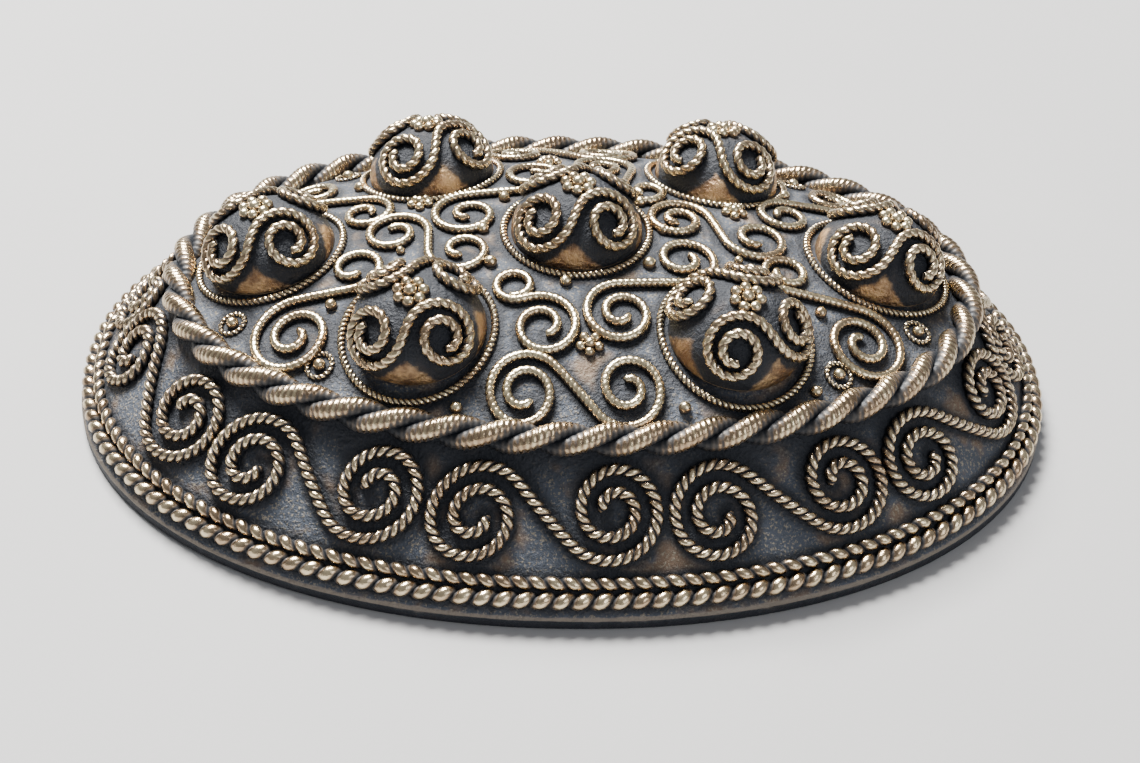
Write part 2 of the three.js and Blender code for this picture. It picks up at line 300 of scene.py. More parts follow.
def made(shape: str, **sizes: object) -> Piece:
    """Makes one of Blender's own shapes, its place and turn taken up in its points.

    Args:
        shape: the name of the shape.
        sizes: what the shape's tool takes.

    Returns:
        The new piece, selected alone.
    """
    getattr(bpy.ops.mesh, f"primitive_{shape}_add")(**sizes)
    bpy.ops.object.transform_apply()
    return bpy.context.object


def rod(vertices: int, radius: float, depth: float, place: Triple = (0, 0, 0)) -> Piece:
    """A round rod that lies along Y."""
    sizes = {"vertices": vertices, "radius": radius, "depth": depth}
    return made("cylinder", location=place, rotation=(RIGHT_ANGLE, 0, 0), **sizes)


def ball(segments: int, rings: int) -> Piece:
    """A round ball of radius one."""
    return made("uv_sphere", segments=segments, ring_count=rings, radius=1)


def coordinates(piece: Piece) -> Array:
    """Reads where the piece's points lie.

    Args:
        piece: the mesh.

    Returns:
        One row for each point.
    """
    flat = np.empty(len(piece.data.vertices) * 3, np.float32)
    piece.data.vertices.foreach_get("co", flat)
    return flat.reshape(-1, 3).astype(float)


def put(piece: Piece, points: Array) -> None:
    """Moves the piece's points to new places."""
    piece.data.vertices.foreach_set("co", points.astype(np.float32).ravel())
    piece.data.update()


def paint(piece: Piece, name: str, values: Array) -> None:
    """Writes one number per point as a named attribute."""
    attribute = piece.data.attributes.get(name) or piece.data.attributes.new(name, "FLOAT", "POINT")
    attribute.data.foreach_set("value", values.astype(np.float32))


def apply_modifier(piece: Piece, kind: str, **settings: object) -> None:
    """Adds a modifier and applies it.

    Args:
        piece: what it works on.
        kind: the modifier's type.
        settings: its settings.
    """
    choose(piece)
    modifier = piece.modifiers.new(kind.lower(), kind)
    for name, value in settings.items():
        setattr(modifier, name, value)
    bpy.ops.object.modifier_apply(modifier=modifier.name)


def cut(piece: Piece, tool: Piece) -> None:
    """Cuts a tool's shape out of a piece, and clears the tool away."""
    apply_modifier(piece, "BOOLEAN", operation="DIFFERENCE", object=tool, solver="EXACT")
    bpy.data.objects.remove(tool)


def soften(piece: Piece, width: float) -> None:
    """Rounds the piece's sharp edges."""
    apply_modifier(piece, "BEVEL", width=width, segments=2, limit_method="ANGLE", angle_limit=SHARP)


def close_up(piece: Piece, distance: float = 1e-5) -> None:
    """Merges doubled points, closes open loops and turns every face outwards.

    Args:
        piece: the mesh.
        distance: how close doubled points lie.
    """
    choose(piece)
    bpy.ops.object.mode_set(mode="EDIT")
    bpy.ops.mesh.select_all(action="SELECT")
    bpy.ops.mesh.remove_doubles(threshold=distance)
    bpy.ops.mesh.select_all(action="DESELECT")
    bpy.ops.mesh.select_mode(type="EDGE")
    bpy.ops.mesh.select_non_manifold()
    bpy.ops.mesh.edge_face_add()
    bpy.ops.mesh.select_mode(type="VERT")
    bpy.ops.mesh.select_all(action="SELECT")
    bpy.ops.mesh.normals_make_consistent(inside=False)
    bpy.ops.object.mode_set(mode="OBJECT")


@dataclass
class Part(ABC):
    """One named piece: its finish, the body that it moves with and the nodes that it is shown for."""

    name: str
    material: Material
    body: str = CASTING
    slot: Slot = Slot.PATINATED
    stands_for: tuple[str, ...] = ()

    @abstractmethod
    def model(self) -> list[Piece]:
        """Models the piece.

        Returns:
            The meshes that make it up, in millimetres.
        """

    def build(self) -> None:
        """Joins the meshes, brings them to metres, dresses them and sets them on their body."""
        meshes = self.model()
        piece = choose(*meshes)
        if len(meshes) > 1:
            bpy.ops.object.join()
        piece.name = piece.data.name = self.name
        put(piece, coordinates(piece) * MM)
        bpy.ops.object.shade_smooth_by_angle(angle=SHARP)
        piece.data.materials.clear()
        piece.data.materials.append(self.material)
        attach(piece, self.body)
        if self.stands_for:
            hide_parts(*self.stands_for)
        piece.data.calc_loop_triangles()
        log.info("%s: %d triangles", piece.name, len(piece.data.loop_triangles))


# ---- finishes ----


class Graph:
    """A material's node tree, built one node at a time."""

    def __init__(self, name: str) -> None:
        """Starts a material with only its shader and output.

        Args:
            name: the material's name.
        """
        self.material = bpy.data.materials.new(name)
        self.material.use_nodes = True
        self.tree = self.material.node_tree
        self.shader = self.tree.nodes["Principled BSDF"]
        self.place = self.node("TexCoord", {}).outputs["Object"]

    def feed(self, node: bpy.types.Node, inputs: dict[str | int, object]) -> None:
        """Links sockets to a node's inputs, or sets plain numbers and colours on them.

        Args:
            node: the node to feed.
            inputs: what each input takes, by its name or number.
        """
        for name, value in inputs.items():
            if isinstance(value, Socket):
                self.tree.links.new(value, node.inputs[name])
            else:
                node.inputs[name].default_value = (*value, 1.0) if isinstance(value, tuple) else value

    def node(self, kind: str, inputs: dict[str | int, object], **settings: str) -> bpy.types.Node:
        """Adds a node.

        Args:
            kind: the node's type.
            inputs: what its inputs take.
            settings: its other settings.

        Returns:
            The node.
        """
        node = self.tree.nodes.new("ShaderNode" + kind)
        for name, value in settings.items():
            setattr(node, name, value)
        self.feed(node, inputs)
        return node

    def attribute(self, name: str) -> Socket:
        """A number painted on the piece's points."""
        return self.node("Attribute", {}, attribute_name=name).outputs["Fac"]

    def noise(self, size: float, detail: float = 3.0, rough: float = 0.55) -> Socket:
        """Cloudy noise whose blots are about `size` millimetres."""
        inputs = {"Vector": self.place, "Scale": 1 / (size * MM), "Detail": detail, "Roughness": rough}
        return self.node("TexNoise", inputs).outputs["Fac"]

    def maths(self, operation: str, *values: Socket | float) -> Socket:
        """One sum, product or other step of arithmetic."""
        return self.node("Math", dict(enumerate(values)), operation=operation).outputs[0]

    def stirred(self, value: Socket, noise: Socket, amount: float) -> Socket:
        """A number made uneven by noise."""
        return self.maths("MULTIPLY_ADD", self.maths("SUBTRACT", noise, 0.5), amount, value)

    def step(self, value: Socket, low: float, high: float) -> Socket:
        """A smooth step from 0 at low to 1 at high."""
        inputs = {"Value": value, "From Min": low, "From Max": high}
        return self.node("MapRange", inputs, interpolation_type="SMOOTHSTEP").outputs["Result"]

    def blend(self, share: Socket, a: Socket | Colour, b: Socket | Colour) -> Socket:
        """A colour between a and b."""
        return self.node("Mix", {"Factor": share, 6: a, 7: b}, data_type="RGBA").outputs[2]

    def between(self, share: Socket, a: float, b: float) -> Socket:
        """A number between a and b."""
        return self.maths("MULTIPLY_ADD", share, b - a, a)

    def finish(
        self, colour: Socket, metal: Socket | float, rough: Socket | float, height: Socket, depth: float
    ) -> Material:
        """Feeds the shader.

        Args:
            colour: base colour.
            metal: metallic share.
            rough: roughness.
            height: surface height for the bump, from 0 to 1.
            depth: how deep the bump is, in millimetres.

        Returns:
            The finished material.
        """
        bump = self.node("Bump", {"Distance": depth * MM, "Height": height})
        looks = {"Base Color": colour, "Metallic": metal, "Roughness": rough}
        self.feed(self.shader, looks | {"Normal": bump.outputs["Normal"]})
        return self.material


@dataclass(frozen=True)
class Finish(ABC):
    """What a piece's surface looks like."""

    name: str

    @abstractmethod
    def make(self) -> Material:
        """Builds the node material.

        Returns:
            The finished material.
        """


@dataclass(frozen=True)
class WornWireWithPaintedShade(Finish):
    """Twisted wire: bright worn crests, brown flanks and dark patina in every groove, with painted shade on
    the underside taken from the crest values.
    """

    bright: Colour = (0.93, 0.80, 0.52)
    warm: Colour = (0.60, 0.445, 0.275)
    brown: Colour = (0.30, 0.205, 0.13)
    dull: Colour = (0.08, 0.07, 0.062)
    patina: Colour = (0.010, 0.013, 0.019)
    start: float = 0.34
    full: float = 0.95
    bump: float = 0.05

    def make(self) -> Material:
        """Builds the node material."""
        graph = Graph(self.name)
        fine = graph.noise(0.35, 4.0)
        broad = graph.noise(3.0)
        # The crest values carry painted shade on the wire's underside as well as wear and groove patina.
        ragged = graph.stirred(graph.attribute("crest_and_painted_shade"), fine, 0.45)
        uneven = graph.stirred(ragged, broad, 0.25)
        # worn: the share of bright metal, from wear on the crests and from the painted shade of the crest
        # values.
        worn = graph.step(uneven, self.start, 0.62)
        polished = graph.blend(graph.step(broad, 0.42, 0.66), self.bright, self.warm)
        metal = graph.blend(graph.step(uneven, 0.45, self.full), self.brown, polished)
        soot = graph.blend(graph.step(uneven, 0.05, 0.45), self.patina, self.dull)
        colour = graph.blend(worn, soot, metal)
        shine = graph.maths("ADD", worn, graph.maths("MULTIPLY", fine, 0.3))
        return graph.finish(
            colour, graph.between(worn, 0.35, 1.0), graph.between(shine, 0.55, 0.27), fine, self.bump
        )


@dataclass(frozen=True)
class CastGround(Finish):
    """The cast ground between the wires: patina by the wires, browner in the open, bare in patches, with
    painted shadow under the ridge rope and on the upright face of the edge, and a pale band on top of the
    edge that is partly rubbed metal and partly a painted highlight.
    """

    copper: Colour = (0.60, 0.40, 0.22)
    tarnish: Colour = (0.25, 0.155, 0.095)
    brown: Colour = (0.16, 0.11, 0.075)
    slate: Colour = (0.060, 0.072, 0.096)
    patina: Colour = (0.015, 0.018, 0.025)
    dust: Colour = (0.25, 0.22, 0.17)
    # Pale metal of the edge band: rubbed metal, and partly a painted highlight.
    rubbed: Colour = (0.24, 0.21, 0.18)
    inside: Colour = (0.40, 0.29, 0.18)
    inside_dull: Colour = (0.28, 0.205, 0.135)
    bump: float = 0.24

    def make(self) -> Material:
        """Builds the node material."""
        graph = Graph(self.name)
        fine, speckle = graph.noise(0.4, 5.0, 0.6), graph.noise(0.22, 3.0, 0.6)
        blots, broad = graph.noise(2.2, 4.0, 0.6), graph.noise(4.5)
        # Painted shadow: the ground under the ridge rope and on the upright face of the edge is darkened
        # towards patina.
        lit = graph.maths("SUBTRACT", 1.0, graph.attribute("painted_shadow"))
        far = graph.maths("MULTIPLY", graph.attribute("open"), lit)
        out = graph.step(graph.stirred(far, blots, 0.7), 0.15, 0.85)
        tone = graph.blend(graph.step(broad, 0.52, 0.64), self.slate, self.brown)
        dusty = graph.blend(graph.step(speckle, 0.52, 0.68), tone, self.dust)
        patchy = graph.stirred(graph.attribute("bare"), blots, 0.9)
        shown = graph.step(graph.stirred(patchy, fine, 0.35), 0.28, 0.64)
        # The edge band: rubbed metal along the top of the plain edge, and partly a painted highlight.
        worn = graph.step(graph.stirred(graph.attribute("edge"), blots, 0.8), 0.35, 0.7)
        rim = graph.blend(worn, graph.blend(out, self.patina, dusty), self.rubbed)
        patch = graph.blend(graph.step(blots, 0.40, 0.62), self.tarnish, self.copper)
        plain = graph.blend(graph.step(blots, 0.36, 0.64), self.inside_dull, self.inside)
        colour = graph.blend(graph.attribute("outside"), plain, graph.blend(shown, rim, patch))
        metallic = graph.between(graph.maths("MAXIMUM", shown, worn), 0.3, 1.0)
        grain = graph.maths("MULTIPLY_ADD", speckle, 0.5, fine)
        height = graph.maths("MULTIPLY_ADD", blots, 0.6, grain)
        return graph.finish(colour, metallic, graph.between(shown, 0.58, 0.32), height, self.bump)


@dataclass(frozen=True)
class PlainBronze(Finish):
    """Drawn or cast bronze left plain: soft brown tone with rubbed paler places."""

    pale: Colour = (0.58, 0.45, 0.28)
    dark: Colour = (0.22, 0.16, 0.10)
    dull: float = 0.56
    shine: float = 0.36
    bump: float = 0.04

    def make(self) -> Material:
        """Builds the node material."""
        graph = Graph(self.name)
        fine, broad = graph.noise(0.3, 4.0), graph.noise(4.0, 4.0)
        rubbed = graph.step(graph.maths("MULTIPLY_ADD", fine, 0.35, broad), 0.45, 0.85)
        colour = graph.blend(rubbed, self.dark, self.pale)
        rough = graph.between(rubbed, self.dull, self.shine)
        return graph.finish(colour, graph.between(rubbed, 0.8, 1.0), rough, fine, self.bump)


# ---- wires ----


@dataclass(frozen=True)
class Coil:
    """A spiral on the plan: its middle, how far out it starts, its turns, and how far in it ends."""

    x: float
    y: float
    radius: float
    turns: float
    eye: float
    curl: float = 1.0
    spacing: float = 0.1

    def points(self, bearing: float, spin: int) -> Array:
        """Draws the spiral.

        Args:
            bearing: where its outer end lies, in radians.
            spin: 1 or -1, by the way that it turns.

        Returns:
            Plan points from the outer end in, one row each.
        """
        part = np.linspace(0, 1, max(int(TURN * self.turns * self.radius / self.spacing), 12))
        angle = bearing - spin * TURN * self.turns * part
        reach = self.eye + (self.radius - self.eye) * (1 - part) ** self.curl
        return stacked(self.x + reach * np.cos(angle), self.y + reach * np.sin(angle))


@dataclass(frozen=True)
class Scroll:
    """An S scroll on the plan: two coils joined by their common inner tangent."""

    start: Coil
    end: Coil
    spin: int
    smoothing: int = 12

    def path(self) -> Array:
        """Draws the whole way from eye to eye.

        Returns:
            Plan points, one row each.
        """
        x, y = self.end.x - self.start.x, self.end.y - self.start.y
        cross = -self.spin * (self.start.radius + self.end.radius)
        straight = math.sqrt(max(x * x + y * y - cross**2, 0.01))
        leave = math.atan2(y, x) - math.atan2(cross, straight) - self.spin * RIGHT_ANGLE
        one = self.start.points(leave, self.spin)[::-1]
        two = self.end.points(leave + math.pi, self.spin)
        count = max(int(np.linalg.norm(two[0] - one[-1]) / self.start.spacing), 2)
        bridge = one[-1] + (two[0] - one[-1]) * np.linspace(0, 1, count + 1)[1:-1, None]
        path = np.concatenate([one, bridge, two])
        for _ in range(self.smoothing):
            path[1:-1] = path[1:-1] / 2 + (path[:-2] + path[2:]) / 4
        return path


@dataclass(frozen=True)
class Line:
    """A way over the ground in space: points, and the direction away from the ground at each."""

    points: Array
    normals: Array
    closed: bool = False

    @classmethod
    def over(cls, ground: Ground, path: Array, closed: bool = False) -> Line:
        """The way of a plan path over a ground."""
        u, v = path[:, 0], path[:, 1]
        return cls(ground.at(u, v), ground.normal(u, v), closed)

    @property
    def length(self) -> float:
        """The whole length of the way."""
        return float(travelled(self.points)[-1])

    def picked(self, values: Array, distance: Array) -> Array:
        """Values of the line's points at distances along it."""
        marks = travelled(self.points)
        return stacked(*(np.interp(distance, marks, column) for column in values.T))

    def frames(self, distance: Array) -> tuple[Array, Array, Array]:
        """Works out where a wire lies and how it is turned.

        Args:
            distance: distances along the line.

        Returns:
            Points, sideways directions and upward directions.
        """
        if self.closed:
            around = np.concatenate([self.points[-2:-1], self.points, self.points[1:2]])
            ahead = unit(around[2:] - around[:-2])
        else:
            ahead = unit(np.gradient(self.points, axis=0))
        side = unit(np.cross(self.normals, ahead))
        up = np.cross(ahead, side)
        return self.picked(self.points, distance), *(unit(self.picked(way, distance)) for way in (side, up))


@dataclass(frozen=True)
class Twist:
    """Wire twisted from strands: its section is turned along its length and laid on a line."""

    radius: float
    rib: float
    hand: int = 1
    strands: int = 2
    groove: float = 0.42
    points: int = 10
    steps: int = 5
    lift: float = 0.55
    worn: float = 0.0
    filling: float = 0.95
    taper: float = 0.5
    blunt: float = 0.62
    # How light the wire's underside stays in the painted shade of its crest values.
    shade: float = 0.5
    soot: float = 1.0
    fine_rib: float = 0.0
    fine_depth: float = 0.0

    def section(self, angle: Array) -> Array:
        """Radius of the section in a direction: round strands with a groove between two."""
        part = self.strands * angle / TURN
        return self.radius * (1 - self.groove * (2 * (part - np.rint(part))) ** 2)

    def straight(self, length: float, closed: bool) -> Piece:
        """Models a straight length along Z.

        Args:
            length: the wanted length.
            closed: whether its two ends will meet, so that the strands have to match.

        Returns:
            The wire.
        """
        ribs = max(round(length / self.rib), 3)
        if closed:
            ribs = self.strands * round(ribs / self.strands)
        wire = made("circle", vertices=self.points, radius=self.radius, fill_type="NOTHING")
        points = coordinates(wire)
        points[:, :2] *= (self.section(np.arctan2(points[:, 1], points[:, 0])) / self.radius)[:, None]
        put(wire, points)
        turn = {"angle": self.hand * TURN / self.strands, "iterations": ribs, "screw_offset": length / ribs}
        steps = {"steps": self.steps, "render_steps": self.steps}
        apply_modifier(wire, "SCREW", axis="Z", use_merge_vertices=False, **turn, **steps)
        return wire

    def lay(self, line: Line) -> Piece:
        """Models a wire and lays it along a line, with its crest worn and its underside painted darker as
        painted shade.

        Args:
            line: the way that it follows.

        Returns:
            The wire, with crest values painted on it: lighter on its worn crests, darker with patina in its
            grooves, and darker towards its underside as painted shade.
        """
        wire = self.straight(line.length, line.closed)
        x, y, along = coordinates(wire).T
        away = np.maximum(np.hypot(x, y), TINY)
        reach, high = away, y / away
        if self.fine_rib:
            ribs = round(line.length / self.fine_rib)
            wave = 0.5 + 0.5 * np.cos(TURN * ribs * along / line.length + self.hand * np.arctan2(y, x))
            reach = away - self.fine_depth * (1 - wave)
        filled = reach + (self.radius * self.filling - reach) * self.worn * np.clip(high, 0, 1) ** 1.5
        spread = filled / away
        if not line.closed:
            end = np.minimum(along, line.length - along)
            spread *= self.blunt + (1 - self.blunt) * np.sqrt(np.clip(end / self.taper, 0, 1))
        centre, side, up = line.frames(np.clip(along, 0, line.length))
        above = (y * spread + self.lift * self.radius)[:, None]
        put(wire, centre + side * (x * spread)[:, None] + up * above)
        low = self.radius * (1 - self.groove)
        rib = np.clip((filled - low) / (self.radius - low), 0, 1)
        sooty = min(0.95, 2.2 * self.groove)
        # Crest values: the grooves go dark with patina, and the underside of the wire is painted darker, a
        # painted shade that the field shade lessens.
        crest_and_painted_shade = (1 - sooty * (1 - rib**self.soot)) * np.clip(self.shade + 0.65 * high, 0, 1)
        paint(wire, "crest_and_painted_shade", crest_and_painted_shade * (0.62 + 0.38 * wave) if self.fine_rib else crest_and_painted_shade)
        close_up(wire)
        return wire


@dataclass
class Relief(Part):
    """A family of wires or beads that lie on the ground, and the lines that they follow."""

    lines: list[Line] = field(default_factory=list)

    def lay(self, wire: Twist, ground: Ground, path: Array, closed: bool = False) -> Piece:
        """Lays a wire over a ground and keeps its line."""
        self.lines.append(Line.over(ground, path, closed))
        return wire.lay(self.lines[-1])


@dataclass
class FlangeScrolls(Relief):
    """The S scrolls round the flange."""

    count: int = 11
    first: float = -2.1
    crowding: float = 1.2
    half_gap: float = 5.1
    up: float = 7.5
    drop: float = 0.45
    radius: float = 3.9
    turns: float = 1.9
    eye: float = 0.75
    wire: Twist = Twist(radius=0.5, rib=0.78, hand=-1, points=12, steps=6, lift=0.65)

    def model(self) -> list[Piece]:
        """Lays one wire for each scroll."""
        wires = []
        for k in range(self.count):
            drift = self.crowding * math.sin(TURN * k / self.count)
            middle = self.first + FLANGE.length * k / self.count + drift
            start = Coil(middle - self.half_gap, self.up - self.drop, self.radius, self.turns, self.eye)
            end = Coil(middle + self.half_gap, self.up + self.drop, self.radius, self.turns, self.eye)
            wires.append(self.lay(self.wire, FLANGE, Scroll(start, end, -1).path()))
        return wires


@dataclass
class CrownScrolls(Relief):
    """The S scrolls that fill the crown between the bosses."""

    wire: Twist = Twist(radius=0.39, rib=0.46, groove=0.18, points=8, steps=4, lift=0.7, worn=0.6)
    scrolls: tuple[Scroll, ...] = (
        Scroll(Coil(-3.35, -16.15, 3.0, 1.75, 0.8), Coil(4.3, -15.7, 2.95, 1.7, 0.5), -1),
        Scroll(Coil(-2.0, -10.9, 2.85, 1.5, 0.75), Coil(-4.2, -7.0, 1.5, 1.1, 1.1), 1),
        Scroll(Coil(3.9, -9.6, 2.95, 1.7, 0.5), Coil(8.95, -3.5, 2.7, 1.4, 0.65), -1),
        Scroll(Coil(-20.85, -10.0, 3.4, 1.9, 0.45), Coil(-16.7, -3.95, 2.35, 1.1, 0.75), -1),
        Scroll(Coil(22.5, -9.75, 3.35, 2.0, 0.5), Coil(17.05, -3.85, 2.0, 1.3, 0.8), 1),
        Scroll(Coil(-13.8, -0.05, 2.7, 1.35, 0.7), Coil(-8.4, -2.75, 2.6, 1.25, 0.55), -1),
        Scroll(Coil(8.75, 1.8, 2.7, 1.7, 0.45), Coil(15.0, 0.1, 2.7, 1.25, 0.75), -1),
        Scroll(Coil(-8.05, 2.1, 3.05, 1.5, 0.4), Coil(-3.0, 8.7, 2.8, 1.5, 0.8), -1),
        Scroll(Coil(2.8, 10.9, 2.7, 1.6, 0.5), Coil(6.4, 6.1, 2.0, 1.2, 0.5), -1),
        Scroll(Coil(-16.4, 3.4, 2.4, 1.3, 0.4), Coil(-20.9, 8.6, 2.2, 1.6, 0.5), 1),
        Scroll(Coil(17.8, 4.3, 2.4, 1.3, 0.6), Coil(22.3, 9.4, 2.4, 1.6, 0.5), -1),
        Scroll(Coil(3.35, 16.15, 3.0, 1.75, 0.8), Coil(-4.3, 15.7, 2.95, 1.7, 0.5), -1),
    )

    def model(self) -> list[Piece]:
        """Lays one wire for each scroll."""
        return [self.lay(self.wire, CROWN, scroll.path()) for scroll in self.scrolls]


@dataclass
class BossScrolls(Relief):
    """Two S scrolls of thick worn wire on each boss, on opposite sides of its tip."""

    half_gap: float = 2.85
    down: float = 3.1
    radius: float = 2.7
    turns: float = 1.65
    eye: float = 0.85
    curl: float = 1.3
    wire: Twist = Twist(0.42, 0.66, groove=0.33, points=12, steps=6, lift=0.85, worn=0.4, shade=0.6)

    def model(self) -> list[Piece]:
        """Lays the wires of every boss."""
        wires = []
        size = (-self.down, self.radius, self.turns, self.eye, self.curl)
        for boss in BOSSES:
            path = Scroll(Coil(-self.half_gap, *size), Coil(self.half_gap, *size), boss.spin).path()
            for bearing in (boss.bearing + 90, boss.bearing + 270):
                c, s = math.cos(math.radians(bearing)), math.sin(math.radians(bearing))
                wires.append(self.lay(self.wire, boss, path @ np.array([[c, s], [-s, c]])))
        return wires


@dataclass
class BossRings(Relief):
    """The fine ring of twisted wire round the foot of each boss."""

    radius: float = 5.8
    samples: int = 181
    wire: Twist = Twist(radius=0.32, rib=0.44, groove=0.34, points=8, steps=4, lift=0.5)

    def model(self) -> list[Piece]:
        """Lays one closed ring round each boss."""
        rings = [circle(boss.x, boss.y, self.radius, self.samples) for boss in BOSSES]
        return [self.lay(self.wire, CROWN, ring, closed=True) for ring in rings]


@dataclass
class RimRopes(Relief):
    """The two ropes along the rim, twisted against each other."""

    outer: Twist = Twist(0.68, 1.44, -1, strands=1, groove=0.52, points=12, steps=10, lift=0.32, soot=1.15)
    inner: Twist = Twist(0.54, 1.26, 1, strands=1, groove=0.5, points=12, steps=10, lift=0.32, soot=1.1)
    outer_up: float = 1.38
    inner_up: float = 2.62
    samples: int = 1441

    def model(self) -> list[Piece]:
        """Lays both ropes round the rim."""
        along = np.linspace(0, FLANGE.length, self.samples)
        ropes = ((self.outer, self.outer_up), (self.inner, self.inner_up))
        return [self.lay(twist, FLANGE, stacked(along, up), closed=True) for twist, up in ropes]


@dataclass
class RidgeRope(Relief):
    """The thick rope on the ridge: two finely ribbed strands round each other, in 44 lobes."""

    rise: float = 0.5
    samples: int = 1441
    wire: Twist = Twist(
        radius=1.32, rib=3.75, hand=-1, groove=0.58, points=28, steps=48, lift=0.0, shade=0.88,
        soot=1.3, fine_rib=0.46, fine_depth=0.06,
    )

    def model(self) -> list[Piece]:
        """Lays the rope round the ridge."""
        c, s = oval(np.linspace(0, TURN, self.samples))
        middle = stacked(CROWN.offset + c * CROWN.a, s * CROWN.b, CROWN.ridge + self.rise)
        line = Line(middle, np.broadcast_to((0.0, 0.0, 1.0), middle.shape), closed=True)
        self.lines.append(line)
        return [self.wire.lay(line)]


# ---- granules ----


def bead(centre: Array, radius: float) -> Piece:
    """Models one round granule.

    Args:
        centre: its middle.
        radius: its size.

    Returns:
        The granule, painted brighter towards its top and darker below: a painted highlight and painted
        shade.
    """
    granule = made("ico_sphere", subdivisions=2, radius=radius)
    points = coordinates(granule)
    put(granule, points + centre)
    # Painted light: each granule is painted brighter towards its top and darker towards its underside.
    paint(granule, "crest_and_painted_shade", np.clip(0.45 + 0.6 * points[:, 2] / radius, 0, 1))
    return granule


@dataclass(frozen=True)
class Rosette:
    """A granule with others round it, and how far out of the ground they all stand."""

    count: int
    ring: float
    middle: float
    petal: float
    high: float
    low: float

    def model(self, seat: Seat, turn: float, lift: float = 0.0) -> list[Piece]:
        """Sets the granules.

        Args:
            seat: where they lie.
            turn: the bearing of the first petal, in radians.
            lift: how far above the seat's foot they lie.

        Returns:
            The middle granule, then the petals.
        """
        beads = [bead(seat.place(np.array([0.0, 0.0, lift + self.high])), self.middle)]
        for k in range(self.count):
            angle = TURN * k / self.count + turn
            petal = (self.ring * math.cos(angle), self.ring * math.sin(angle), lift + self.low)
            beads.append(bead(seat.place(np.array(petal)), self.petal))
        return beads


@dataclass
class Granules(Relief):
    """Single granules, clusters between the scrolls, rosettes on the bosses and beads in rings."""

    singles: tuple[Triple, ...] = (
        (-0.3, -6.5, 0.5), (-6.1, -4.3, 0.55), (6.2, -4.2, 0.55), (-6.8, 0.0, 0.5),
        (7.5, 0.3, 0.5), (5.8, 4.3, 0.5), (-5.2, 4.7, 0.5), (-18.2, -7.6, 0.5),
        (19.4, -7.5, 0.5), (8.5, -16.9, 0.5), (-8.3, -17.1, 0.5), (18.5, -14.5, 0.5),
        (-17.3, 8.7, 0.5), (18.2, 8.6, 0.5), (-13.2, -2.3, 0.38), (13.3, -2.9, 0.38),
    )
    clusters: tuple[tuple[float, float], ...] = ((1.5, -12.4), (-12.0, 4.4), (13.5, 4.0), (-1.5, 12.6))
    ringed: tuple[tuple[float, float], ...] = (
        (-25.9, -7.5), (-18.7, -12.8), (20.4, -12.8), (27.3, -7.1),
        (-26.0, 7.4), (27.0, 7.2), (-18.7, 13.0), (19.6, 13.0),
    )
    sunk: float = 0.45
    cluster: Rosette = Rosette(count=5, ring=0.72, middle=0.462, petal=0.42, high=0.357, low=0.189)
    tip: Rosette = Rosette(count=7, ring=0.98, middle=0.52, petal=0.48, high=0.25, low=0.07)
    ringed_bead: float = 0.5
    bead_up: float = 0.2
    ring: float = 0.95
    ring_samples: int = 61
    ring_wire: Twist = Twist(radius=0.22, rib=0.36, points=8, steps=4, lift=0.4)

    def model(self) -> list[Piece]:
        """Sets every granule."""
        parts = [bead(CROWN.above(x, y, radius * self.sunk), radius) for x, y, radius in self.singles]
        for x, y in self.clusters:
            normal = CROWN.normal(x, y)
            side = unit(np.cross(normal, (0.0, 1.0, 0.0)))
            parts += self.cluster.model(Seat(CROWN.at(x, y), side, np.cross(normal, side), normal), 0.3)
        for boss in BOSSES:
            parts += self.tip.model(boss.seat(), math.radians(boss.bearing), boss.height)
        for x, y in self.ringed:
            parts.append(bead(CROWN.above(x, y, self.bead_up), self.ringed_bead))
            ring = circle(x, y, self.ring, self.ring_samples)
            parts.append(self.lay(self.ring_wire, CROWN, ring, closed=True))
        return parts


# ---- shell ----


def paint_open(meshes: list[Piece], lines: list[Line], reach: float, covered: float = 0.35) -> None:
    """Paints how open the ground is: 0 by a wire, and 1 well away from every wire.

    Args:
        meshes: the ground.
        lines: the ways of all the wires.
        reach: how far beyond a wire's cover the ground is wholly open.
        covered: how far out a wire covers it.
    """
    every = np.concatenate([line.points for line in lines])
    tree = kdtree.KDTree(len(every))
    for number, point in enumerate(every):
        tree.insert(point, number)
    tree.balance()
    for mesh in meshes:
        away = np.array([tree.find(point)[2] for point in coordinates(mesh)])
        paint(mesh, "open", np.clip((away - covered) / reach, 0, 1))


